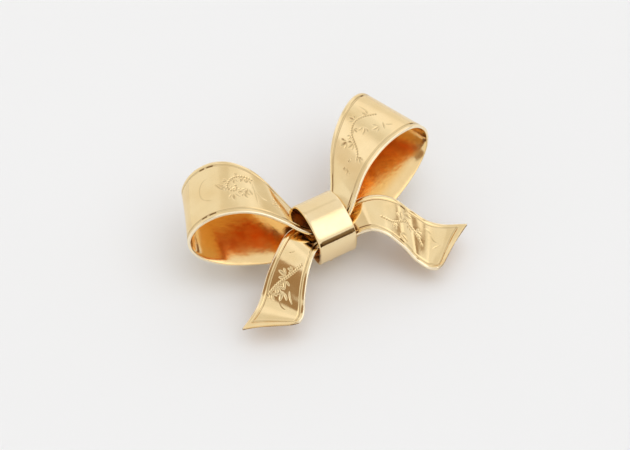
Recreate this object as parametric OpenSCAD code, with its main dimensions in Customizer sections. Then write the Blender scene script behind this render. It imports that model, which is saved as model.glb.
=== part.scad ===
// Gold ribbon-bow fob brooch: two hand-bent loops and two tails held by a knot band, with a
// hinged pin, a turning safety catch and a fixed watch hook soldered to the back.
// The bow lies on its back: +X along the bow, +Y towards the loops, +Z out of its front.

/* [Sheet] */
// Thickness of the ribbon sheet
sheet_t = 0.5; // [0.4:0.05:0.6]
// Steps along each ribbon
ribbon_steps = 64; // [32:8:120]
// Height that the knot arches a loop's front ply by
crown_h = 0.9; // [0.5:0.1:0.9]

/* [Knot band] */
// Width of the band, along the bow
band_w = 6.4; // [5:0.1:7]
// Thickness of the band's sheet
band_t = 0.5; // [0.4:0.05:0.6]

/* [Brooch pin] */
// Distance from the pin's hinge to the middle of the catch
pin_span = 23; // [20:0.5:24]
// Radius of the pin's wire
pin_r = 0.38; // [0.3:0.01:0.42]
// Length of the pin past the middle of the catch
pin_past_catch = 3.2; // [2.8:0.1:3.6]
// Length of the pin's sharpened end
pin_point_l = 3; // [2:0.1:3.5]

/* [Catch] */
// Outside radius of the catch's C-shaped sleeve
sleeve_r = 1.5; // [1.45:0.01:1.55]
// Length of the sleeve
sleeve_l = 3.2; // [2.8:0.1:3.4]
// Width of the sleeve's mouth
sleeve_mouth = 1.1; // [1:0.02:1.2]

/* [Watch hook] */
// Radius of the hook's wire
hook_wire_r = 0.4; // [0.3:0.01:0.4]
// Radius of the hook's bend, at the middle of the wire
hook_bend_r = 1; // [0.9:0.01:1]

/* [Hidden] */

gold = [0.86, 0.62, 0.24];
pale_gold = [0.92, 0.74, 0.38];
fine = 64;
// Points across a ribbon, and how much of a loop's length the arch takes to die out
across = 8;
crown_reach = 0.14;

// The knot is drawn round x = 0 and y = 0. This moves the finished bow so that its box is
// centred over the origin and its catch stands on z = 0.
centre_x = -0.46;
centre_y = -1.2;
lift = 2;

// A ribbon is drawn by the places of its two edges. Each row is one station along it, and holds
// the near edge's point and the far edge's point. A loop starts inside the knot, in front, runs
// out over the front, round the bend and back into the knot behind.
right_loop_stations = [
    [[0.4, -1.6, 5.2], [0.4, 3, 5.6]],
    [[3.2, -2.2, 6.6], [3, 2.9, 6.2]],
    [[7.4, 2.1, 9.8], [5.4, 8.9, 9.7]],
    [[13.4, 4.7, 11.3], [10, 13.2, 11.5]],
    [[19.1, 6.1, 10.8], [14.6, 16.1, 11.4]],
    [[22.1, 6.2, 8.4], [17.5, 16.5, 8.9]],
    [[21.3, 4.7, 4.9], [17.6, 14.8, 6.4]],
    [[16.2, 2.1, 2.4], [14.6, 12.6, 5.1]],
    [[8.3, -1.6, 2.3], [8.3, 9, 5]],
    [[3.6, -2.8, 2.3], [3.3, 3, 2.4]],
    [[0.4, -2.9, 2.3], [0.4, 3, 2.3]]];
// The left side is bent by hand to almost the same shape. Its stations are mirrored when used.
left_loop_stations = [
    [[0.4, -1.6, 5.2], [0.4, 3, 5.6]],
    [[4, -2.4, 6.4], [3.9, 2.3, 5.6]],
    [[8.2, 1.9, 10.2], [5.6, 9.3, 10.3]],
    [[13.2, 4.7, 11.5], [9.1, 13.7, 12]],
    [[18.2, 6, 10.5], [13.2, 15.8, 11]],
    [[21.1, 6.1, 7.9], [16.3, 15.8, 8.2]],
    [[20.5, 4.6, 4.7], [17, 14.8, 6.2]],
    [[15.9, 2, 2.4], [14.6, 12.8, 5.2]],
    [[8.5, -1.2, 2.3], [8.4, 9.8, 5.2]],
    [[4.6, -2.6, 2.3], [4.2, 3, 2.4]],
    [[0.4, -2.9, 2.3], [0.4, 3, 2.3]]];
// A tail starts inside the knot, rises over a crest and falls towards its cut end. Its near edge
// is the inner one.
right_tail_stations = [
    [[0.4, -2.9, 4.4], [0.4, 0.8, 4.5]],
    [[2.7, -3.9, 4.4], [3.6, 1, 5.4]],
    [[4.5, -4.6, 5.5], [6.4, 1, 6.4]],
    [[6.1, -5.8, 5.7], [9, 0.3, 6.4]],
    [[7.4, -7.5, 4.8], [11.3, -1.1, 5.5]],
    [[8.7, -9.8, 3], [13.1, -3.2, 3.6]],
    [[10.2, -12.9, 0.7], [15.1, -5.8, 1.3]],
    [[11.9, -13.9, 1.5], [20, -8.7, 1.6]]];
left_tail_stations = [
    [[0.4, -2.9, 4.4], [0.4, 0.8, 4.5]],
    [[2.8, -3.1, 4.8], [3.7, 1.2, 5.5]],
    [[4.4, -4.2, 5.7], [6, 1, 6.4]],
    [[6.1, -5.8, 5.7], [8.2, -0.2, 6.2]],
    [[7.8, -7.4, 4.8], [10.6, -1.8, 5.1]],
    [[9.4, -9.4, 3.3], [13.1, -3.6, 3.4]],
    [[10.8, -11.7, 1.4], [15.4, -6, 1.4]],
    [[12.3, -12, 1.7], [19.8, -8.6, 1.6]]];

// The band's outline across the bow, as [y, z], from its upper corner over the front, down the
// lower side and back along the flat back.
band_x = -0.48;
band_outline = [[3.4, 8.3], [0.7, 8.9], [-1.5, 8.1], [-3.1, 7.3], [-4.5, 5.8], [-4.6, 3.4],
                [-4.2, 1.2], [-2.4, 1.2], [0, 1.2], [2.4, 1.2], [4.8, 1.2], [5, 4], [4.7, 6.4]];
band_back_z = 1.2;

// The findings are soldered under the loops' back plies, each on a patch of sheet. The plies rise
// towards +Y and fall towards their bends: over the pin, these are their underside's height and
// its two slopes in degrees.
pin_y = 5;
ply_z = 3.3;
ply_rise = 14;
ply_fall = 3.5;
patch_t = 0.3;
patch_w = 4.4;
hinge_patch_l = 6;
catch_patch_l = 5;
hook_patch_l = 4.2;
hook_patch_w = 2.6;

// The tube in the knot fills the height from the loops' back plies to the tails.
back_ply_z = 2.3;
tail_z = 4.4;
core_wall = 0.3;
core_l = 3.2;
core_y = -0.6;

// The pin and its hinge and catch
sleeve_wall = 0.45;
mouth_angle = asin(sleeve_mouth / 2 / sleeve_r);
pin_z = sleeve_r * cos(mouth_angle) - lift;
hinge_x = -pin_span / 2;
catch_x = pin_span / 2;
knuckle_r = 0.85;
knuckle_l = 1.3;
rivet_r = 0.37;
hinge_gap = 0.05;
ear_t = 0.55;
ear_gap = 1.5;
ear_r = 1;
rivet_head_r = 0.6;
rivet_head_t = 0.25;
bracket_l = 2.8;
bracket_t = 0.35;
foot_w = 1.6;
point_r = 0.06;
run_gap = 0.05;
rotor_r = sleeve_r - sleeve_wall - run_gap;
rotor_bore_r = 0.55;
rotor_mouth = 1;
rotor_l = sleeve_l - 0.4;
tab_w = 0.9;
tab_t = 0.5;
tab_reach = 2.4;
// Angles about the catch, from straight down towards +Y
tab_angle = 68;
catch_turn = 75;
slot_margin = 18;

// The watch hook
hook_x = band_x;
hook_leg_z = band_back_z - patch_t - hook_wire_r;
hook_top_y = 2.4;
hook_bend_y = -1;
hook_tip_y = 0.6;

// A smooth curve that follows a list of points, t from 0 to 1. It starts and ends on the first
// and last point.
function beyond(c, i) = i < 0 ? 2 * c[0] - c[1]
    : i > len(c) - 1 ? 2 * c[len(c) - 1] - c[len(c) - 2] : c[i];
function blend(a, b, c, d, f) =
    (pow(1 - f, 3) * a + (3 * pow(f, 3) - 6 * f * f + 4) * b
     + (1 + 3 * f + 3 * f * f - 3 * pow(f, 3)) * c + pow(f, 3) * d) / 6;
function along(c, t) =
    let (spans = len(c) - 1, u = t * spans, i = min(floor(u), spans - 1))
    blend(beyond(c, i - 1), beyond(c, i), beyond(c, i + 1), beyond(c, i + 2), u - i);
// The same curve round a closed list of points
function round_closed(c, t) =
    let (n = len(c), u = t * n, i = floor(u))
    blend(c[(i + n - 1) % n], c[i % n], c[(i + 1) % n], c[(i + 2) % n], u - i);

function unit(v) = v / norm(v);
function edge(stations, side) = [for (s = stations) s[side]];

// How far a ribbon's middle stands out of the straight line between its edges
function arch(crown, t, v) =
    let (x = min(t / crown_reach, 1)) crown * (1 - x * x * (3 - 2 * x)) * 4 * v * (1 - v);

// One cross-section of a ribbon: across the sheet's back and then across its front
function ribbon_ring(near, far, crown, t) =
    let (step = 0.002,
         a = max(t - step, 0),
         b = min(t + step, 1),
         p = along(near, t),
         q = along(far, t),
         run = along(near, b) + along(far, b) - along(near, a) - along(far, a),
         out = unit(cross(run, q - p)))
    [for (side = [-1, 1], k = [0:across])
        let (v = side < 0 ? k / across : 1 - k / across)
        p + (q - p) * v + out * (arch(crown, t, v) + side * sheet_t / 2)];

// A strip of sheet between the two edges of its stations
module ribbon(stations, crown = 0) {
    near = edge(stations, 0);
    far = edge(stations, 1);
    n = 2 * across + 2;
    points = [for (i = [0:ribbon_steps]) each ribbon_ring(near, far, crown, i / ribbon_steps)];
    last = n * ribbon_steps;
    sides = [for (i = [0:ribbon_steps - 1], k = [0:n - 1])
             let (a = n * i, m = (k + 1) % n)
             each [[a + k, a + n + k, a + n + m], [a + k, a + n + m, a + m]]];
    ends = [for (k = [0:across - 1])
            let (a = k, b = k + 1, c = n - 2 - k, d = n - 1 - k)
            each [[a, b, c], [a, c, d],
                  [last + c, last + b, last + a], [last + d, last + c, last + a]]];
    polyhedron(points, concat(ends, sides), convexity = 6);
}

module placed() {
    translate([centre_x, centre_y, lift]) children();
}

module mirrored_x() {
    mirror([1, 0, 0]) children();
}

// A plate of patch_t with its corners rounded, hanging below z = 0
module patch(length, width, r = 0.8) {
    translate([0, 0, -patch_t]) linear_extrude(patch_t) hull()
        for (sx = [-1, 1], sy = [-1, 1])
            translate([sx * (length / 2 - r), sy * (width / 2 - r)]) circle(r, $fn = 24);
}

// Puts what hangs below z = 0 against the underside of the back ply at x
module under_ply(x) {
    translate([x, pin_y, ply_z]) rotate([ply_rise, sign(x) * ply_fall, 0]) children();
}

// All that lies above the underside of the patch at x
module over_patch(x) {
    size = 10;
    under_ply(x) translate([-size / 2, -size / 2, -patch_t]) cube(size);
}

// A cylinder of radius r and length l, centred, along X or along Y
module rod_x(r, l) {
    rotate([0, 90, 0]) cylinder(h = l, r = r, center = true, $fn = fine);
}

module rod_y(r, l) {
    rotate([90, 0, 0]) cylinder(h = l, r = r, center = true, $fn = fine);
}

module left_loop() {
    color(gold) placed() mirrored_x() ribbon(left_loop_stations, crown_h);
}

module right_loop() {
    color(gold) placed() ribbon(right_loop_stations, crown_h);
}

module left_tail() {
    color(gold) placed() mirrored_x() ribbon(left_tail_stations);
}

module right_tail() {
    color(gold) placed() ribbon(right_tail_stations);
}

// The sheet wrapped round the middle of the bow
module knot_band() {
    outline_steps = 72;
    outer = [for (i = [0:outline_steps - 1]) round_closed(band_outline, i / outline_steps)];
    color(pale_gold) placed() translate([band_x - band_w / 2, 0, 0])
        rotate([90, 0, 90]) linear_extrude(band_w) difference() {
            polygon(outer);
            offset(delta = -band_t) polygon(outer);
        }
}

// The tube inside the knot that keeps the plies apart
module knot_core() {
    core_r = (tail_z - back_ply_z - sheet_t) / 2;
    color(gold) placed() translate([band_x, core_y, (tail_z + back_ply_z) / 2]) difference() {
        rod_x(core_r, core_l);
        rod_x(core_r - core_wall, core_l + 1);
    }
}

module hinge_patch() {
    color(gold) placed() under_ply(hinge_x) patch(hinge_patch_l, patch_w);
}

// Two ears on a plate, drilled for the rivet
module hinge_bracket() {
    ear_y = ear_gap / 2 + ear_t / 2;
    base_w = ear_gap + 2 * ear_t;
    color(gold) placed() difference() {
        union() {
            under_ply(hinge_x) translate([-bracket_l / 2, -base_w / 2, -patch_t - bracket_t])
                cube([bracket_l, base_w, bracket_t]);
            for (side = [-1, 1]) translate([hinge_x, pin_y + side * ear_y, pin_z]) {
                rod_y(ear_r, ear_t);
                translate([-ear_r, -ear_t / 2, 0]) cube([2 * ear_r, ear_t, ply_z + 1 - pin_z]);
            }
        }
        over_patch(hinge_x);
        translate([hinge_x, pin_y, pin_z]) rod_y(rivet_r, base_w + 1);
    }
}

module hinge_rivet() {
    shank_l = ear_gap + 2 * ear_t;
    color(pale_gold) placed() translate([hinge_x, pin_y, pin_z]) {
        rod_y(rivet_r, shank_l);
        for (side = [-1, 1])
            translate([0, side * (shank_l + rivet_head_t) / 2, 0]) rod_y(rivet_head_r, rivet_head_t);
    }
}

// A knuckle on the rivet, and a wire that ends in a point
module pin_stem() {
    shank_l = pin_span + pin_past_catch - pin_point_l;
    color(pale_gold) placed() translate([hinge_x, pin_y, pin_z]) difference() {
        union() {
            rod_y(knuckle_r, knuckle_l);
            translate([shank_l / 2, 0, 0]) rod_x(pin_r, shank_l);
            translate([shank_l, 0, 0]) rotate([0, 90, 0])
                cylinder(h = pin_point_l, r1 = pin_r, r2 = point_r, $fn = fine);
        }
        rod_y(rivet_r + hinge_gap, knuckle_l + 1);
    }
}

module catch_patch() {
    color(gold) placed() under_ply(catch_x) patch(catch_patch_l, patch_w);
}

// A slot from the axis straight down, for the pin to pass
module mouth(width, length) {
    translate([-length / 2, -width / 2, -2 * sleeve_r]) cube([length, width, 2 * sleeve_r]);
}

// A wedge about X between two angles, counted from straight down towards +Y
module wedge_x(from, to, r, length) {
    steps = 12;
    rotate([90, 0, 90]) translate([0, 0, -length / 2]) linear_extrude(length)
        polygon(concat([[0, 0]], [for (i = [0:steps])
            let (a = from + (to - from) * i / steps) r * [sin(a), -cos(a)]]));
}

// The C-shaped sleeve, its foot, and the slot that the thumb tab travels in
module catch_housing() {
    color(gold) placed() difference() {
        translate([catch_x, pin_y, pin_z]) {
            rod_x(sleeve_r, sleeve_l);
            translate([-sleeve_l / 2, -foot_w / 2, 0]) cube([sleeve_l, foot_w, ply_z + 1 - pin_z]);
        }
        over_patch(catch_x);
        translate([catch_x, pin_y, pin_z]) {
            rod_x(sleeve_r - sleeve_wall, sleeve_l + 1);
            mouth(sleeve_mouth, sleeve_l + 1);
            wedge_x(tab_angle - slot_margin, tab_angle + catch_turn + slot_margin,
                    2 * sleeve_r, tab_w + 0.2);
        }
    }
}

// The inner C that turns to close the mouth, with its thumb tab
module catch_rotor() {
    color(pale_gold) placed() translate([catch_x, pin_y, pin_z]) difference() {
        union() {
            rod_x(rotor_r, rotor_l);
            rotate([tab_angle, 0, 0]) translate([-tab_w / 2, -tab_t / 2, -tab_reach])
                cube([tab_w, tab_t, tab_reach]);
        }
        rod_x(rotor_bore_r, rotor_l + 1);
        mouth(rotor_mouth, rotor_l + 1);
    }
}

module hook_patch() {
    color(gold) placed() translate([hook_x, (hook_top_y + hook_bend_y) / 2, band_back_z])
        patch(hook_patch_w, hook_patch_l);
}

// A wire bent back on itself, with a ball on its tip
module watch_hook() {
    tip_z = hook_leg_z - 2 * hook_bend_r;
    color(pale_gold) placed() translate([hook_x, 0, 0]) {
        translate([0, (hook_top_y + hook_bend_y) / 2, hook_leg_z])
            rod_y(hook_wire_r, hook_top_y - hook_bend_y);
        translate([0, hook_bend_y, hook_leg_z - hook_bend_r]) rotate([0, 90, 0])
            rotate([0, 0, 180]) rotate_extrude(angle = 180, $fn = fine)
                translate([hook_bend_r, 0]) circle(hook_wire_r, $fn = 32);
        translate([0, (hook_tip_y + hook_bend_y) / 2, tip_z])
            rod_y(hook_wire_r, hook_tip_y - hook_bend_y);
        translate([0, hook_tip_y, tip_z]) sphere(hook_wire_r, $fn = 32);
    }
}

left_loop();
right_loop();
left_tail();
right_tail();
knot_band();
knot_core();
hinge_patch();
hinge_bracket();
hinge_rivet();
pin_stem();
catch_patch();
catch_housing();
catch_rotor();
hook_patch();
watch_hook();
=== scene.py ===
"""Looks of the gold ribbon-bow fob brooch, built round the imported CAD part."""

import math

import bmesh
import bpy
import numpy as np
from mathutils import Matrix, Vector

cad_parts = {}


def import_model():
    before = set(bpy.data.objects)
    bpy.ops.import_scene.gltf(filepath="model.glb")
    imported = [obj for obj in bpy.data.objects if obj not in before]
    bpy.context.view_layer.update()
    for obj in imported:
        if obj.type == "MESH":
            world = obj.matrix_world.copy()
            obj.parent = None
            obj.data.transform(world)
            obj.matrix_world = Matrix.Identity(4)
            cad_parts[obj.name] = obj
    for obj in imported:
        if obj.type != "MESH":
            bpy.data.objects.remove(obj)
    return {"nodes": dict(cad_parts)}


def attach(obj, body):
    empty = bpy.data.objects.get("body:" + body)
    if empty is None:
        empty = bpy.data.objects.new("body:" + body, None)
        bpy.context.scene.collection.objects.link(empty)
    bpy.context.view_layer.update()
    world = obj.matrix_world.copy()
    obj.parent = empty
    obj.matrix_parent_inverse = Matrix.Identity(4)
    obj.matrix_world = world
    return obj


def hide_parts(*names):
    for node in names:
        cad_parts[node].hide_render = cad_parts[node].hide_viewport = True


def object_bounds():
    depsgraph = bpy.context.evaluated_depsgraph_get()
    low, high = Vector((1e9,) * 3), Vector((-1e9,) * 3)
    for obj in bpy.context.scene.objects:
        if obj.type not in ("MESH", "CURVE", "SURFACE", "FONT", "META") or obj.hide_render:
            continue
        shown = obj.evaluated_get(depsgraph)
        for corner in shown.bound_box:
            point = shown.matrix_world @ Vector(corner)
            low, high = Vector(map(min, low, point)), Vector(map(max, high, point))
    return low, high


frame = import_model()
cad_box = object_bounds()

MM = 0.001

# ---------------------------------------------------------------- the bow's shape
# In millimetres, as in part.scad. Each row of a ribbon is one station along it, and holds the near
# and the far edge's point. Both sides are drawn towards +X, and the left ones are mirrored.
SHEET_T = 0.5
KNOT_AT = np.array([-0.46, -1.2, 2.0])
# The height that the knot arches a loop's front ply by, and how far along the loop that reaches
CROWN_H = 0.9
CROWN_REACH = 0.14
RIGHT_LOOP = [
    [[0.4, -1.6, 5.2], [0.4, 3, 5.6]],
    [[3.2, -2.2, 6.6], [3, 2.9, 6.2]],
    [[7.4, 2.1, 9.8], [5.4, 8.9, 9.7]],
    [[13.4, 4.7, 11.3], [10, 13.2, 11.5]],
    [[19.1, 6.1, 10.8], [14.6, 16.1, 11.4]],
    [[22.1, 6.2, 8.4], [17.5, 16.5, 8.9]],
    [[21.3, 4.7, 4.9], [17.6, 14.8, 6.4]],
    [[16.2, 2.1, 2.4], [14.6, 12.6, 5.1]],
    [[8.3, -1.6, 2.3], [8.3, 9, 5]],
    [[3.6, -2.8, 2.3], [3.3, 3, 2.4]],
    [[0.4, -2.9, 2.3], [0.4, 3, 2.3]],
]
LEFT_LOOP = [
    [[0.4, -1.6, 5.2], [0.4, 3, 5.6]],
    [[4, -2.4, 6.4], [3.9, 2.3, 5.6]],
    [[8.2, 1.9, 10.2], [5.6, 9.3, 10.3]],
    [[13.2, 4.7, 11.5], [9.1, 13.7, 12]],
    [[18.2, 6, 10.5], [13.2, 15.8, 11]],
    [[21.1, 6.1, 7.9], [16.3, 15.8, 8.2]],
    [[20.5, 4.6, 4.7], [17, 14.8, 6.2]],
    [[15.9, 2, 2.4], [14.6, 12.8, 5.2]],
    [[8.5, -1.2, 2.3], [8.4, 9.8, 5.2]],
    [[4.6, -2.6, 2.3], [4.2, 3, 2.4]],
    [[0.4, -2.9, 2.3], [0.4, 3, 2.3]],
]
RIGHT_TAIL = [
    [[0.4, -2.9, 4.4], [0.4, 0.8, 4.5]],
    [[2.7, -3.9, 4.4], [3.6, 1, 5.4]],
    [[4.5, -4.6, 5.5], [6.4, 1, 6.4]],
    [[6.1, -5.8, 5.7], [9, 0.3, 6.4]],
    [[7.4, -7.5, 4.8], [11.3, -1.1, 5.5]],
    [[8.7, -9.8, 3], [13.1, -3.2, 3.6]],
    [[10.2, -12.9, 0.7], [15.1, -5.8, 1.3]],
    [[11.9, -13.9, 1.5], [20, -8.7, 1.6]],
]
LEFT_TAIL = [
    [[0.4, -2.9, 4.4], [0.4, 0.8, 4.5]],
    [[2.8, -3.1, 4.8], [3.7, 1.2, 5.5]],
    [[4.4, -4.2, 5.7], [6, 1, 6.4]],
    [[6.1, -5.8, 5.7], [8.2, -0.2, 6.2]],
    [[7.8, -7.4, 4.8], [10.6, -1.8, 5.1]],
    [[9.4, -9.4, 3.3], [13.1, -3.6, 3.4]],
    [[10.8, -11.7, 1.4], [15.4, -6, 1.4]],
    [[12.3, -12, 1.7], [19.8, -8.6, 1.6]],
]
BAND_X = -0.48
BAND_W = 6.4
BAND_T = 0.5
BAND_OUTLINE = [[3.4, 8.3], [0.7, 8.9], [-1.5, 8.1], [-3.1, 7.3], [-4.5, 5.8], [-4.6, 3.4],
                [-4.2, 1.2], [-2.4, 1.2], [0, 1.2], [2.4, 1.2], [4.8, 1.2], [5, 4], [4.7, 6.4]]


def along(points, t):
    """The same smooth curve as part.scad's, for every t from 0 to 1."""
    c = np.asarray(points, float)
    c = np.vstack([2 * c[0] - c[1], c, 2 * c[-1] - c[-2]])
    u = np.asarray(t, float) * (len(c) - 3)
    i = np.minimum(u.astype(int), len(c) - 4)
    f = (u - i)[:, None]
    return ((1 - f) ** 3 * c[i] + (3 * f ** 3 - 6 * f ** 2 + 4) * c[i + 1]
            + (1 + 3 * f + 3 * f ** 2 - 3 * f ** 3) * c[i + 2] + f ** 3 * c[i + 3]) / 6


def round_closed(points, count):
    """The same kind of curve round a closed list of points."""
    c = np.asarray(points, float)
    u = np.arange(count) / count * len(c)
    i = u.astype(int)
    f = (u - i)[:, None]
    n = len(c)
    return ((1 - f) ** 3 * c[(i - 1) % n] + (3 * f ** 3 - 6 * f ** 2 + 4) * c[i % n]
            + (1 + 3 * f + 3 * f ** 2 - 3 * f ** 3) * c[(i + 1) % n] + f ** 3 * c[(i + 2) % n]) / 6


def smoothstep(x):
    """0 below 0, 1 above 1, and a smooth step between."""
    x = np.clip(x, 0, 1)
    return x * x * (3 - 2 * x)


# ---------------------------------------------------------------- engraving
# A cut is a list of points (s, c) in mm: s along the strip from where it leaves the knot's
# middle, c across it from its centre line, towards the far edge where positive.

# Half a cut's width where it is too thin to show
THINNEST = 0.01
# A leaf's length at size 1, and the widths and depths of its cuts
LEAF = 1.25
LEAF_CUT_W, LEAF_CUT_D = 0.4, 0.11
LOBE_CUT_W, LOBE_CUT_D = 0.28, 0.09
# The nicks along a vine
NICK_PITCH, NICK_R, NICK_D = 0.4, 0.19, 0.1
# How far a leaf's foot stands off its vine
FOOT = 0.22


def curve_points(points, step=0.05):
    """Points every step mm along a smooth curve through given ones, with 0..1 along it."""
    t = np.linspace(0, 1, 400)
    p = along(points, t)
    d = np.concatenate([[0], np.cumsum(np.linalg.norm(np.diff(p, axis=0), axis=1))])
    n = max(int(d[-1] / step), 2)
    at = np.linspace(0, d[-1], n + 1)
    return np.stack([np.interp(at, d, p[:, k]) for k in (0, 1)], 1), at / d[-1]


class Relief:
    """Depths in mm cut into a strip, gathered on a grid of places (s, c)."""

    def __init__(self, s, c):
        self.s, self.c = s, c
        self.depth = np.zeros_like(s)

    def near(self, p, reach):
        """The places of the grid that may lie within reach of the points p."""
        lo, hi = p.min(0) - reach, p.max(0) + reach
        hit = (self.s > lo[0]) & (self.s < hi[0]) & (self.c > lo[1]) & (self.c < hi[1])
        return np.nonzero(hit)

    def cut(self, points, width, depth):
        """A V-shaped cut of the given full width, pointed at both ends."""
        p, f = curve_points(points)
        half = width / 2 * np.sin(np.pi * np.clip(f, 0.02, 0.98)) ** 0.7
        at = self.near(p, width)
        if not len(at[0]):
            return
        g = np.stack([self.s[at], self.c[at]], 1)
        best = np.zeros(len(g))
        for q, h in zip(p, half):
            if h <= THINNEST:
                continue
            r = np.hypot(g[:, 0] - q[0], g[:, 1] - q[1])
            best = np.maximum(best, depth * (h / (width / 2)) * np.clip(1 - r / h, 0, 1))
        self.depth[at] = np.maximum(self.depth[at], best)

    def beads(self, points, pitch, radius, depth):
        """A row of small round nicks."""
        p, _ = curve_points(points, pitch)
        at = self.near(p, 2 * radius)
        if not len(at[0]):
            return
        g = np.stack([self.s[at], self.c[at]], 1)
        best = np.zeros(len(g))
        for q in p:
            r = np.hypot(g[:, 0] - q[0], g[:, 1] - q[1]) / radius
            best = np.maximum(best, depth * np.sqrt(np.clip(1 - r * r, 0, 1)))
        self.depth[at] = np.maximum(self.depth[at], best)


def turned(points, at, angle, size):
    """A motif's points, turned, sized and put in place on the strip."""
    ca, sa = math.cos(math.radians(angle)), math.sin(math.radians(angle))
    return [(at[0] + size * (x * ca - y * sa), at[1] + size * (x * sa + y * ca))
            for x, y in points]


def leaf(relief, at, angle, size):
    """A bright-cut leaf: one full cut with a lobe either side."""
    size = size * LEAF
    relief.cut(turned([(0, 0), (0.5, 0.1), (1, 0)], at, angle, size), LEAF_CUT_W * size,
               LEAF_CUT_D)
    for lobe in ([(0.05, 0.1), (0.35, 0.45), (0.7, 0.6)],
                 [(0.05, -0.1), (0.3, -0.42), (0.6, -0.62)]):
        relief.cut(turned(lobe, at, angle, size), LOBE_CUT_W * size, LOBE_CUT_D)


def vine(relief, points, leaves):
    """A row of nicks along a curve, with leaves: (0..1 along it, side, size, lean in degrees)."""
    relief.beads(points, NICK_PITCH, NICK_R, NICK_D)
    p, _ = curve_points(points)
    for at, side, size, lean in leaves:
        i = min(max(int(at * (len(p) - 1)), 1), len(p) - 2)
        run = p[i + 1] - p[i - 1]
        run = run / np.hypot(*run)
        foot = p[i] + side * FOOT * np.array([-run[1], run[0]])
        leaf(relief, foot, math.degrees(math.atan2(run[1], run[0])) + side * lean, size)


def stroke(relief, points, width=0.3, depth=0.09):
    """A plain cut along a curve."""
    relief.cut(points, width, depth)


# ---------------------------------------------------------------- ribbons
# The border line's distance from the edge, half its width, and its depth
BORDER_IN = 0.8
BORDER_HALF = 0.2
BORDER_DEPTH = 0.07
# How dark the painted shade in a cut of FULL_CUT is, and how dark a painted dark streak on the
# border line is
FULL_CUT = 0.1
CUT_PAINTED_SHADE = 0.6
PAINTED_STREAK_DARK = 1.3
# A hand-bent strip's unevenness: its radians for each mm, the ripple on it, and where it starts
# out of the knot and the mm it takes to grow and to die out at the other end
WAVE = 1.1
RIPPLE_HIGH, RIPPLE_RATE = 0.5, 1.7
UNEVEN_FROM, UNEVEN_FADE = 4.5, 2
# The painted shade and reflected glow inside a loop, redder and darker towards the knot: how far
# from its end it starts, and the mm it takes to deepen
PAINTED_GLOW_FROM, PAINTED_GLOW_FADE = 26, 14
EDGE_R = 0.14
# The mesh's steps in mm where a strip is engraved and where it isn't
FINE = 0.08
COARSE = 0.35
INNER_COLUMNS = 22
# Places on the border line, across it, and all the places from an edge to the line's far side
ON_LINE = (BORDER_IN - BORDER_HALF, BORDER_IN - BORDER_HALF / 2, BORDER_IN,
           BORDER_IN + BORDER_HALF / 2, BORDER_IN + BORDER_HALF)
EDGE_COLUMNS = (EDGE_R, 0.3, 0.46, *ON_LINE)
END_ROWS = (0.0, 0.06, 0.14, 0.4, *ON_LINE)
# The stretch of a tail that takes up the shape of its cut end
END_REACH = 5.0


def strip_rows(length, engraved, has_end):
    """Places along a strip, denser where it is engraved and at the line along its cut end."""
    lo, hi = engraved[0], min(engraved[1], length)
    rows = [np.linspace(0, lo, max(int(lo / COARSE), 2), endpoint=False),
            np.linspace(lo, hi, int((hi - lo) / FINE) + 1)]
    if hi < length:
        rows.append(np.linspace(hi, length, max(int((length - hi) / COARSE), 2) + 1)[1:])
    rows = np.concatenate(rows)
    if has_end:
        for inset in END_ROWS:
            # no two rows closer than about half a step
            rows = rows[np.abs(rows - (length - inset)) > FINE * 0.55]
            rows = np.append(rows, length - inset)
        rows = np.sort(rows)
    return rows


def groove(inset):
    """How deep the border line is cut, and how dark the painted shade on its two flanks is."""
    off = np.abs(inset - BORDER_IN) / (BORDER_HALF / 2)
    return BORDER_DEPTH * np.clip(2 - off, 0, 1), np.clip(1 - np.abs(off - 1.3) / 0.8, 0, 1)


def paint(mesh, name, values):
    """Stores a value for each vertex, for the material to read."""
    mesh.attributes.new(name, "FLOAT", "POINT").data.foreach_set("value", values.ravel())


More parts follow.
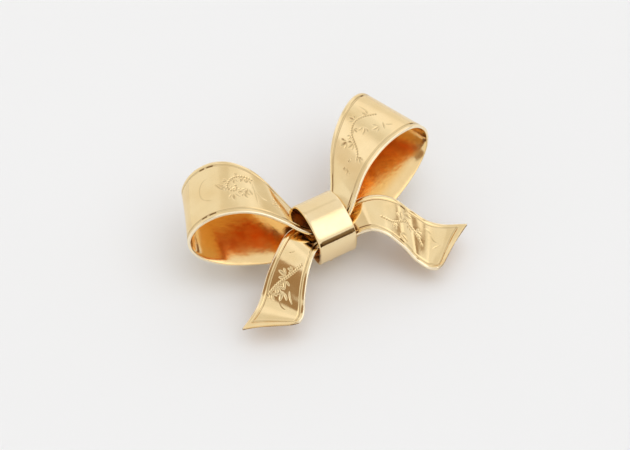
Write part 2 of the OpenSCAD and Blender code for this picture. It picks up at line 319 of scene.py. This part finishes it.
def ribbon_mesh(name, stations, engraved, motifs, cut_end, mirror, crown, painted_dark_streaks, wave):
    """A closed strip of sheet, with its engraving cut into its outer face."""
    t_table = np.linspace(0, 1, 2000)
    near_e = along([row[0] for row in stations], t_table)
    far_e = along([row[1] for row in stations], t_table)
    mid = (near_e + far_e) / 2
    dist = np.concatenate([[0], np.cumsum(np.linalg.norm(np.diff(mid, axis=0), axis=1))])
    length = dist[-1]
    rows = strip_rows(length, engraved, cut_end is not None)

    # places across the strip, from its near edge
    width_at = np.linalg.norm(far_e - near_e, axis=1)
    widest = np.interp(engraved[1], dist, width_at) if engraved[1] < length else width_at.max()
    inner = EDGE_COLUMNS[-1]
    count = max(int((widest - 2 * inner) / FINE), 8)
    w_row = np.interp(rows, dist, width_at)[:, None]
    frac = np.linspace(0, 1, count + 1)[None, :]
    border = np.array(EDGE_COLUMNS[:-1])
    w = np.concatenate([np.tile(border, (len(rows), 1)), inner + frac * (w_row - 2 * inner),
                        w_row - border[::-1]], 1)

    along_s = np.tile(rows[:, None], (1, w.shape[1]))
    s = along_s
    if cut_end is not None:
        s = s - cut_end(w, w_row) * smoothstep((s - (length - END_REACH)) / END_REACH)

    def edges(s):
        return [np.stack([np.interp(s, dist, e[:, k]) for k in range(3)], -1)
                for e in (near_e, far_e)]

    def place(s, w):
        """Points and outward normals at s along and w across."""
        step = 0.15
        n0, f0 = edges(s)
        n1, f1 = edges(np.minimum(s + step, length))
        n2, f2 = edges(np.maximum(s - step, 0))
        across = f0 - n0
        wide = np.linalg.norm(across, axis=-1)
        v = (w / wide)[..., None]
        p = n0 + across * v
        run = (n1 - n2) * (1 - v) + (f1 - f2) * v
        out = np.cross(run, across)
        out = out / np.linalg.norm(out, axis=-1, keepdims=True)
        # the knot arches a loop's front ply, and the arch dies out along the strip
        t = np.interp(s, dist, t_table)[..., None]
        high = crown * (1 - smoothstep(t / CROWN_REACH)) * 4
        p = p + out * high * v * (1 - v)
        # a hand-bent strip is never quite even
        size, turn, phase = wave
        grown = smoothstep((s - UNEVEN_FROM) / UNEVEN_FADE)
        swell = grown * smoothstep((length - s) / UNEVEN_FADE)
        angle = WAVE * s + turn * (w - wide / 2) + phase
        ripple = RIPPLE_RATE * angle + 1
        high_at = np.sin(angle) + RIPPLE_HIGH * np.sin(ripple)
        p = p + out * (size * swell * high_at)[..., None]
        tilted = across + out * high * (1 - 2 * v)
        slope = size * swell * (np.cos(angle) + RIPPLE_HIGH * RIPPLE_RATE * np.cos(ripple))
        pace = np.linalg.norm(run, axis=-1)
        run = run + out * (slope * WAVE * pace)[..., None]
        tilted = tilted + out * (slope * turn * wide)[..., None]
        normal = np.cross(run, tilted)
        return p, normal / np.linalg.norm(normal, axis=-1, keepdims=True)

    # the engraving's depth, and the painted shade in its cuts
    relief = Relief(s, w - w_row / 2)
    motifs(relief)
    depth = relief.depth
    dark = depth / FULL_CUT * CUT_PAINTED_SHADE
    before_end = np.ones_like(w)
    if cut_end is not None:
        from_end = length - along_s
        before_end = (from_end > BORDER_IN).astype(float)
        within = (w > BORDER_IN) & (w_row - w > BORDER_IN)
        # the border line along the cut end, with painted shade on its flanks
        deep, line = groove(from_end)
        depth = np.maximum(depth * before_end, deep * within)
        dark = np.maximum(dark * before_end, line * within)
    # the border lines along both edges, with painted shade on their flanks
    for inset in (w, w_row - w):
        deep, line = groove(inset)
        depth = np.maximum(depth, deep * before_end)
        dark = np.maximum(dark, line * before_end)
        for start, end in painted_dark_streaks:
            # a painted dark reflection along the border line, where the strip is bent
            on = (np.abs(inset - BORDER_IN) < BORDER_HALF * 0.8) & (s > start) & (s < end)
            dark = np.where(on, PAINTED_STREAK_DARK, dark)

    half = SHEET_T / 2
    p, normal = place(s, w)
    outer = p + normal * (half - depth)[..., None]

    def rounded_edge(far):
        """The rings round an edge, from the outer face to the inner one."""
        rings = []
        for side, degrees in ((1, 30), (1, 60), (1, 90), (-1, 90), (-1, 60), (-1, 30)):
            a = math.radians(degrees)
            inset = EDGE_R - EDGE_R * math.sin(a)
            q, n = place(s[:, -1:] if far else s[:, :1],
                         w_row - inset if far else np.full_like(w_row, inset))
            rings.append(q + n * side * (half - EDGE_R + EDGE_R * math.cos(a)))
        return rings

    # the inner face is coarser, and shares the outer face's rows
    pick = np.linspace(w.shape[1] - 1, 0, INNER_COLUMNS)
    pick = np.unique(np.round(pick).astype(int))[::-1]
    back = p[:, pick] - normal[:, pick] * half
    far_rings, near_rings = rounded_edge(True), rounded_edge(False)[::-1]
    ring = np.concatenate([outer, *far_rings, back, *near_rings], 1)

    n_rows, n_ring = ring.shape[:2]
    verts = ring.reshape(-1, 3)
    if mirror:
        verts = verts * [-1, 1, 1]
    verts = (verts + KNOT_AT) * MM
    a = np.arange(n_rows - 1)[:, None] * n_ring
    k = np.arange(n_ring)[None, :]
    k1 = (k + 1) % n_ring
    quads = np.stack([a + k, a + n_ring + k, a + n_ring + k1, a + k1], -1).reshape(-1, 4)
    first = list(range(n_ring))
    last = [(n_rows - 1) * n_ring + i for i in reversed(range(n_ring))]
    if mirror:
        quads, first, last = quads[:, ::-1], first[::-1], last[::-1]
    mesh = bpy.data.meshes.new(name)
    mesh.from_pydata(verts.tolist(), [], quads.tolist() + [first, last])

    # what the material reads: the inside's colour with its painted reflected glow, the painted
    # shade and glow deep in a loop, a painted highlight on the edges, and painted shade in the cuts
    n_outer = outer.shape[1]
    on_back = slice(n_outer + len(far_rings), n_outer + len(far_rings) + len(pick))
    inner_side = slice(on_back.start - 2, on_back.stop + 2)
    at = w[:, pick] / w_row
    # painted reflected glow and shade, redder deep inside a loop towards the knot
    painted_deep_glow = np.zeros((n_rows, n_ring), np.float32)
    if crown:
        painted_deep_glow[:, on_back] = (smoothstep((s[:, pick] - length + PAINTED_GLOW_FROM) / PAINTED_GLOW_FADE)
                           * smoothstep((at - 0.25) / 0.3))
    # a painted highlight along the rounded edges and the outer face's edge columns
    painted_edge_highlight = np.ones((n_rows, n_ring), np.float32)
    painted_edge_highlight[:, 1:n_outer - 1] = 0
    painted_edge_highlight[:, inner_side] = 0
    # the inner face: rougher, and painted with a reflected glow that is paler near the near edge
    inside = np.zeros((n_rows, n_ring), np.float32)
    inside[:, inner_side] = 0.3
    inside[:, on_back] = 0.3 + 0.7 * smoothstep((at - 0.12) / 0.18)
    # painted shade in the cuts and on the border line's flanks, with its painted dark streaks
    cut = np.zeros((n_rows, n_ring), np.float32)
    cut[:, :n_outer] = dark
    for layer, values in (("painted_deep_glow", painted_deep_glow), ("painted_edge_highlight", painted_edge_highlight), ("inside", inside), ("cut", cut)):
        paint(mesh, layer, values)
    mesh.shade_smooth()
    obj = bpy.data.objects.new(name, mesh)
    bpy.context.collection.objects.link(obj)
    return obj


def tail_cut(w, w_row):
    """How much a tail is cut short by: a hollow end, and a rounded inner corner."""
    hollow, corner = 0.3, 1.6
    x = w / w_row
    short = hollow * 4 * x * (1 - x)
    near = np.clip(corner - w, 0, corner)
    return short + corner - np.sqrt(np.clip(corner ** 2 - near ** 2, 0, None))


# ---------------------------------------------------------------- motifs
def right_loop_motifs(r):
    vine(r, [(19.4, 0.3), (18.1, 1.2), (16.7, 2), (15.1, 1.9), (13.8, 1.2), (12.9, 0), (12, -1.1),
             (10.9, -1.4)],
         [(0.12, -1, 0.8, 40), (0.34, -1, 0.9, 75), (0.5, 1, 0.7, 60), (0.62, -1, 0.6, 60),
          (0.74, -1, 1, 80), (0.97, 1, 0.8, 30)])
    for at, angle in (((16.2, 0.1), 200), ((17.7, -1.6), 160), ((12.4, 1.3), 140)):
        leaf(r, at, angle, 1.1)
    stroke(r, [(18.7, -1.5), (18.2, -2.2), (17.6, -2.7)])
    stroke(r, [(19.5, -3), (18.9, -2.6), (18.5, -2)], 0.2)
    stroke(r, [(19, 3.4), (19.1, 2.4), (18.9, 1.3)], 0.2, 0.05)
    leaf(r, (8.8, -0.3), 175, 0.9)
    leaf(r, (10, -0.6), 60, 0.6)


def left_loop_motifs(r):
    stroke(r, [(19.3, 2.5), (20.7, 2.2), (21.2, 0.4), (20.5, -1.5), (18.7, -2.3)], 0.26, 0.06)
    for slide in (0, 0.5):
        stroke(r, [(18.6 - slide, 0.9), (17.8 - slide, -0.2), (16.8 - slide, -0.9 + slide)])
    vine(r, [(12.7, 2.1), (14.2, 2.4), (15.7, 1.9), (16.6, 0.8), (16.8, -0.3), (16, -0.9),
             (15.2, -0.4), (15.4, 0.3)],
         [(0.06, -1, 0.8, 70), (0.18, -1, 0.9, 60), (0.3, 1, 0.5, 60), (0.4, -1, 0.8, 50),
          (0.55, 1, 0.7, 60), (0.66, 1, 0.9, 50), (0.78, -1, 0.7, 60), (0.9, 1, 0.8, 60)])
    leaf(r, (15.9, -1.2), 260, 1.1)
    leaf(r, (13.6, 0.1), 285, 1.2)
    leaf(r, (14.2, -0.8), 250, 0.9)
    stroke(r, [(12.8, 1.8), (12.4, -0.6), (12.3, -2.6)], 0.2, 0.06)
    stroke(r, [(13, 1), (11.9, -0.9), (10.6, -1), (9.7, -0.3)], 0.18, 0.05)
    vine(r, [(9.6, -0.9), (9, -0.6), (8.8, 0), (9.2, 0.3)], [(0.5, 1, 0.5, 60)])


def left_tail_motifs(r):
    vine(r, [(8.8, -1.6), (10.4, -0.8), (12, 0.4), (13.5, 1.6), (15.2, 2.5)],
         [(0.25, 1, 0.7, 60), (0.45, 1, 1.1, 70), (0.5, -1, 1, 50), (0.7, -1, 1.1, 70),
          (0.9, -1, 0.9, 60)])
    leaf(r, (13.9, 0.1), 15, 1.2)
    stroke(r, [(13.3, -0.8), (14.4, -0.9), (15.4, -1.6)], 0.26)
    stroke(r, [(15.6, 0.6), (16.4, 0), (16.6, -0.9)], 0.2, 0.06)
    stroke(r, [(7.4, 0.2), (8, 0.6), (8.3, 1.2)], 0.2, 0.06)


def right_tail_motifs(r):
    vine(r, [(8, -0.6), (9.4, -1), (10.8, -0.3), (12, 0.9), (13.4, 1.1), (14.8, 0.2), (15.6, -0.9)],
         [(0.2, -1, 0.8, 60), (0.45, 1, 1.1, 60), (0.6, -1, 0.9, 60), (0.8, 1, 0.9, 60)])
    leaf(r, (11.7, 1.8), 20, 1.5)
    leaf(r, (11.3, -2), 340, 1.3)
    stroke(r, [(16.8, 1.8), (17.6, 0.6), (18.6, 0.4)], 0.26)
    stroke(r, [(17.5, -0.9), (18.2, -0.1), (18.9, 0.1)], 0.22)
    stroke(r, [(15.8, 2.5), (16.6, 2.3), (17.2, 1.6)], 0.2, 0.06)


# ---------------------------------------------------------------- materials
# Noises as (scale, detail, roughness)
TONES = (260, 4, 0.5)
SMEARS = (900, 5, 0.6)
STAINS = (700, 6, 0.65)
SCRATCHES = (1400, 3, 0.55)
SCRATCH_HIGH = 0.0002


def new_material(name):
    m = bpy.data.materials.new(name)
    m.use_nodes = True
    nodes, links = m.node_tree.nodes, m.node_tree.links
    nodes.clear()
    out = nodes.new("ShaderNodeOutputMaterial")
    bsdf = nodes.new("ShaderNodeBsdfPrincipled")
    links.new(bsdf.outputs[0], out.inputs[0])
    return m, nodes, links, bsdf


def feed(links, value, socket):
    """Links an output to a socket, or sets the socket to a number or a colour."""
    if isinstance(value, bpy.types.NodeSocket):
        links.new(value, socket)
    else:
        socket.default_value = (*value, 1) if isinstance(value, tuple) else value


def noise(nodes, links, coords, kind):
    n = nodes.new("ShaderNodeTexNoise")
    for name, value in zip(("Scale", "Detail", "Roughness"), kind):
        n.inputs[name].default_value = value
    links.new(coords, n.inputs["Vector"])
    return n.outputs[0]


def ramp(nodes, links, source, stops):
    """A ramp of colours, or of greys where a stop is a number."""
    r = nodes.new("ShaderNodeValToRGB")
    e = r.color_ramp.elements
    while len(e) < len(stops):
        e.new(0.5)
    for el, (pos, value) in zip(e, stops):
        el.position = pos
        el.color = (*value, 1) if isinstance(value, tuple) else (value, value, value, 1)
    links.new(source, r.inputs[0])
    return r.outputs[0]


def math_node(nodes, links, op, a, b):
    m = nodes.new("ShaderNodeMath")
    m.operation = op
    feed(links, a, m.inputs[0])
    feed(links, b, m.inputs[1])
    return m.outputs[0]


def mix(nodes, links, factor, a, b, blend="MIX"):
    m = nodes.new("ShaderNodeMix")
    m.data_type = "RGBA"
    m.blend_type = blend
    for name, value in (("Factor", factor), ("A", a), ("B", b)):
        feed(links, value, m.inputs[name])
    return m.outputs["Result"]


def painted(nodes, name):
    """The values that paint() stored."""
    n = nodes.new("ShaderNodeAttribute")
    n.attribute_name = name
    return n.outputs["Fac"]


def scratch(nodes, links, coords, bsdf, strength):
    """Handling scratches and micro-dents."""
    bump = nodes.new("ShaderNodeBump")
    feed(links, strength, bump.inputs["Strength"])
    bump.inputs["Distance"].default_value = SCRATCH_HIGH
    links.new(noise(nodes, links, coords, SCRATCHES), bump.inputs["Height"])
    links.new(bump.outputs[0], bsdf.inputs["Normal"])


def gold(name, pale, deep, rough):
    """Gold with faint changes of tone, smears and scratches."""
    m, nodes, links, bsdf = new_material(name)
    coords = nodes.new("ShaderNodeTexCoord").outputs["Object"]
    tone = noise(nodes, links, coords, TONES)
    links.new(ramp(nodes, links, tone, [(0.3, deep), (0.62, pale)]), bsdf.inputs["Base Color"])
    bsdf.inputs["Metallic"].default_value = 1
    smear = noise(nodes, links, coords, SMEARS)
    links.new(ramp(nodes, links, smear, [(0.35, rough[0]), (0.7, rough[1])]),
              bsdf.inputs["Roughness"])
    scratch(nodes, links, coords, bsdf, 0.04)
    return m


def ribbon_gold():
    """Bright outside, rougher inside the loops with a painted reflected glow that turns redder and
    darker deep in a loop, a painted highlight on the edges, and painted shade in the cuts.
    """
    m, nodes, links, bsdf = new_material("ribbon_gold")
    coords = nodes.new("ShaderNodeTexCoord").outputs["Object"]
    inside = painted(nodes, "inside")
    tone = noise(nodes, links, coords, TONES)
    stain = noise(nodes, links, coords, STAINS)
    smear = noise(nodes, links, coords, SMEARS)
    bright = ramp(nodes, links, tone, [(0.3, (0.88, 0.66, 0.34)), (0.65, (0.93, 0.73, 0.41))])
    # the inner face's painted reflected glow, darker and more orange than the outside, varied by
    # stains
    painted_inside_glow = ramp(nodes, links, stain,
                [(0.3, (0.87, 0.49, 0.15)), (0.5, (0.91, 0.55, 0.18)), (0.7, (0.93, 0.59, 0.21))])
    base = mix(nodes, links, inside, bright, painted_inside_glow)
    # painted red shade and glow deep in a loop
    for name, colour, most in (("painted_deep_glow", (0.86, 0.44, 0.11), 0.45),
                               # a painted highlight on the edges
                               ("painted_edge_highlight", (0.98, 0.87, 0.66), 0.75),
                               # painted shade in the cuts
                               ("cut", (0.26, 0.14, 0.04), 0.85)):
        strength = math_node(nodes, links, "MULTIPLY", painted(nodes, name), most)
        base = mix(nodes, links, strength, base, colour)
    links.new(base, bsdf.inputs["Base Color"])
    bsdf.inputs["Metallic"].default_value = 1
    rough_out = ramp(nodes, links, smear, [(0.35, 0.09), (0.7, 0.17)])
    rough_in = ramp(nodes, links, stain, [(0.3, 0.15), (0.7, 0.25)])
    links.new(mix(nodes, links, inside, rough_out, rough_in), bsdf.inputs["Roughness"])
    rougher = math_node(nodes, links, "MULTIPLY", inside, 0.1)
    scratch(nodes, links, coords, bsdf, math_node(nodes, links, "ADD", rougher, 0.03))
    return m


# ---------------------------------------------------------------- pieces
RIBBON_GOLD = ribbon_gold()
BAND_GOLD = gold("band_gold", (0.93, 0.74, 0.44), (0.9, 0.69, 0.38), (0.05, 0.1))
# dark brown painted shade for the band's inside faces
BAND_INSIDE_SHADE = gold("band_inside_shade", (0.4, 0.2, 0.08), (0.28, 0.12, 0.05), (0.35, 0.5))
FINDINGS_GOLD = gold("findings_gold", (0.92, 0.66, 0.3), (0.84, 0.56, 0.22), (0.22, 0.36))
WIRE_GOLD = gold("wire_gold", (0.95, 0.7, 0.34), (0.9, 0.62, 0.27), (0.12, 0.22))

# node: stations, engraved stretch, motifs, cut end, mirrored, crown, painted dark streaks,
# unevenness
RIBBONS = {
    "left_loop": (LEFT_LOOP, (5, 26), left_loop_motifs, None, True, CROWN_H,
                  ((18.6, 19.6), (20, 20.8)), (0.02, 0.25, 0.4)),
    "right_loop": (RIGHT_LOOP, (5, 26), right_loop_motifs, None, False, CROWN_H,
                   ((21.4, 22.1),), (0.02, -0.2, 1.9)),
    "left_tail": (LEFT_TAIL, (4, 99), left_tail_motifs, tail_cut, True, 0.0, (),
                  (0.03, 0.2, 0.8)),
    "right_tail": (RIGHT_TAIL, (4, 99), right_tail_motifs, tail_cut, False, 0.0,
                   ((11.2, 12.1),), (0.06, 0.3, 2.2)),
}
for node, (stations, engraved, motifs, end, mirror, crown, painted_dark_streaks, wave) in RIBBONS.items():
    piece = ribbon_mesh(node + "_engraved", stations, engraved, motifs, end, mirror, crown,
                        painted_dark_streaks, wave)
    piece.data.materials.append(RIBBON_GOLD)
    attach(piece, "bow")
    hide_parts(node)


def knot_band():
    """The band as a rounded sleeve with softened edges."""
    steps, columns = 160, 14
    edge_r, inner_edge = 0.18, 0.1
    outline = round_closed(BAND_OUTLINE, steps)
    tangent = np.roll(outline, -1, 0) - np.roll(outline, 1, 0)
    out = np.stack([tangent[:, 1], -tangent[:, 0]], 1)
    out /= np.linalg.norm(out, axis=1, keepdims=True)
    if ((outline - outline.mean(0)) * out).sum() < 0:
        out = -out
    # the sleeve's section as (x, height above the outline): its outside, one edge, its inside
    # and the other edge
    flat = BAND_W / 2 - edge_r
    section = [(x, 0.0) for x in np.linspace(-flat, flat, columns)]
    rounding = [(edge_r * math.sin(a), edge_r * math.cos(a) - edge_r)
                for a in map(math.radians, (30, 60, 90))]
    section += [(flat + x, h) for x, h in rounding]
    inside_from = len(section)
    section += [(BAND_W / 2, -BAND_T + inner_edge), (BAND_W / 2 - inner_edge, -BAND_T),
                (0, -BAND_T),
                (-BAND_W / 2 + inner_edge, -BAND_T), (-BAND_W / 2, -BAND_T + inner_edge)]
    inside_to = len(section) - 2
    section += [(-flat - x, h) for x, h in rounding[::-1]]
    m = len(section)
    verts, faces = [], []
    for i, ((y, z), (ny, nz)) in enumerate(zip(outline, out)):
        for k, (x, h) in enumerate(section):
            at = KNOT_AT + (BAND_X + x, y + ny * h, z + nz * h)
            verts.append(tuple(at * MM))
            a, b, k1 = i * m, (i + 1) % steps * m, (k + 1) % m
            faces.append((a + k, a + k1, b + k1, b + k))
    mesh = bpy.data.meshes.new("knot_band_polished")
    mesh.from_pydata(verts, [], faces)
    mesh.materials.append(BAND_GOLD)
    mesh.materials.append(BAND_INSIDE_SHADE)
    # the band's inside faces take the painted shade
    for i, face in enumerate(mesh.polygons):
        face.material_index = int(inside_from <= i % m <= inside_to)
    mesh.shade_smooth()
    obj = bpy.data.objects.new("knot_band_polished", mesh)
    bpy.context.collection.objects.link(obj)
    bm = bmesh.new()
    bm.from_mesh(mesh)
    bmesh.ops.recalc_face_normals(bm, faces=bm.faces)
    bm.to_mesh(mesh)
    bm.free()
    return obj


band = knot_band()
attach(band, "bow")
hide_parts("knot_band")

# The CAD's own findings stay as they are, with these materials.
for material, nodes in ((FINDINGS_GOLD, ("knot_core", "hinge_patch", "hinge_bracket",
                                         "catch_patch", "catch_housing", "catch_rotor",
                                         "hook_patch")),
                        (WIRE_GOLD, ("hinge_rivet", "pin_stem", "watch_hook"))):
    for node in nodes:
        for slot in frame["nodes"][node].material_slots:
            slot.material = material

# ---------------------------------------------------------------- floor, light and camera
def floor():
    """A plain pale table at the height of the CAD's underside."""
    size = 1.2
    mesh = bpy.data.meshes.new("floor")
    mesh.from_pydata([(-size, -size, 0), (size, -size, 0), (size, size, 0), (-size, size, 0)], [],
                     [(0, 1, 2, 3)])
    obj = bpy.data.objects.new("floor", mesh)
    bpy.context.collection.objects.link(obj)
    m, nodes, links, bsdf = new_material("floor")
    bsdf.inputs["Base Color"].default_value = (0.84, 0.846, 0.85, 1)
    bsdf.inputs["Roughness"].default_value = 0.6
    mesh.materials.append(m)
    obj.location.z = cad_box[0].z


def overhead_light():
    """A soft light for the table, which the gold doesn't reflect."""
    data = bpy.data.lights.new("overhead", "AREA")
    data.shape = "RECTANGLE"
    data.size = data.size_y = 0.6
    data.energy = 0.53
    at, aim = Vector((0.05, 0.05, 0.7)), Vector((0, 0, 0.005))
    obj = bpy.data.objects.new("overhead", data)
    obj.location = at
    obj.rotation_mode = "QUATERNION"
    obj.rotation_quaternion = (aim - at).to_track_quat("-Z", "Y")
    obj.visible_glossy = False
    bpy.context.collection.objects.link(obj)


def toward(azimuth, elevation):
    """The unit vector that points azimuth degrees clockwise from +Y, elevation above the floor."""
    a, e = math.radians(azimuth), math.radians(elevation)
    return math.sin(a) * math.cos(e), math.cos(a) * math.cos(e), math.sin(e)


# The white room's brightness, and its zones: (azimuth, elevation, half width, soft edge, colour),
# all in degrees but the colour, which multiplies the room's.
ROOM = 0.93
ZONES = [
    (140, 55, 12, 16, (1.8, 1.8, 1.8)),
    (90, 50, 5, 7, (1.5, 1.5, 1.55)),
    (91, 33, 4, 3, (0.42, 0.3, 0.2)),
    (88, 22, 4, 5, (1.3, 1.3, 1.3)),
    (62, 22, 7, 9, (0.84, 0.81, 0.76)),
    (50, 36, 6, 8, (1.16, 1.16, 1.2)),
    (20, 55, 5, 6, (0.86, 0.84, 0.8)),
    (2, 66, 6, 8, (1.16, 1.16, 1.2)),
    (-55, 62, 7, 8, (1.12, 1.12, 1.16)),
    (-92, 60, 13, 4, (0.4, 0.27, 0.165)),
    (158, 6, 15, 6, (0.24, 0.17, 0.1)),
    (178, 4, 15, 6, (0.3, 0.22, 0.14)),
    (138, 6, 10, 6, (0.4, 0.3, 0.2)),
    (-34, 52, 9, 8, (0.8, 0.76, 0.7)),
]


def world():
    """A white room with one bright soft box, and a few dark and bright things round the table."""
    w = bpy.data.worlds.new("studio")
    bpy.context.scene.world = w
    w.use_nodes = True
    nodes, links = w.node_tree.nodes, w.node_tree.links
    background = nodes["Background"]
    direction = nodes.new("ShaderNodeTexCoord").outputs["Generated"]
    white = (1, 1, 1)
    light = white
    for azimuth, elevation, half, soft, colour in ZONES:
        facing = nodes.new("ShaderNodeVectorMath")
        facing.operation = "DOT_PRODUCT"
        links.new(direction, facing.inputs[0])
        facing.inputs[1].default_value = toward(azimuth, elevation)
        edge = nodes.new("ShaderNodeMapRange")
        edge.interpolation_type = "SMOOTHSTEP"
        edge.inputs["From Min"].default_value = math.cos(math.radians(half + soft))
        edge.inputs["From Max"].default_value = math.cos(math.radians(half))
        links.new(facing.outputs["Value"], edge.inputs["Value"])
        light = mix(nodes, links, edge.outputs[0], light, colour, "MULTIPLY")
    # the zones are for the gold to reflect, and behind the table the room is plain
    seen = nodes.new("ShaderNodeLightPath").outputs["Is Camera Ray"]
    links.new(mix(nodes, links, seen, light, white), background.inputs[0])
    background.inputs[1].default_value = ROOM


# The camera's direction and distance from the knot, in degrees and metres, its lens in mm, and its
# shift in parts of the picture's width
AZIMUTH = 30.78
ELEVATION = 51
DISTANCE = 0.42
LENS = 156
SHIFT = (-0.0187, 0.0314)


def camera():
    data = bpy.data.cameras.new("camera")
    obj = bpy.data.objects.new("camera", data)
    bpy.context.collection.objects.link(obj)
    a, e = math.radians(AZIMUTH), math.radians(ELEVATION)
    back = Vector((-math.sin(a) * math.cos(e), -math.cos(a) * math.cos(e), math.sin(e)))
    target = Vector(KNOT_AT * MM)
    obj.location = target + back * DISTANCE
    obj.rotation_mode = "QUATERNION"
    obj.rotation_quaternion = (-back).to_track_quat("-Z", "Y")
    data.lens = LENS
    data.sensor_width = 36
    data.shift_x, data.shift_y = SHIFT
    data.clip_start, data.clip_end = 0.01, 20
    bpy.context.scene.camera = obj


floor()
world()
overhead_light()
camera()
bpy.context.scene.view_settings.view_transform = "Standard"
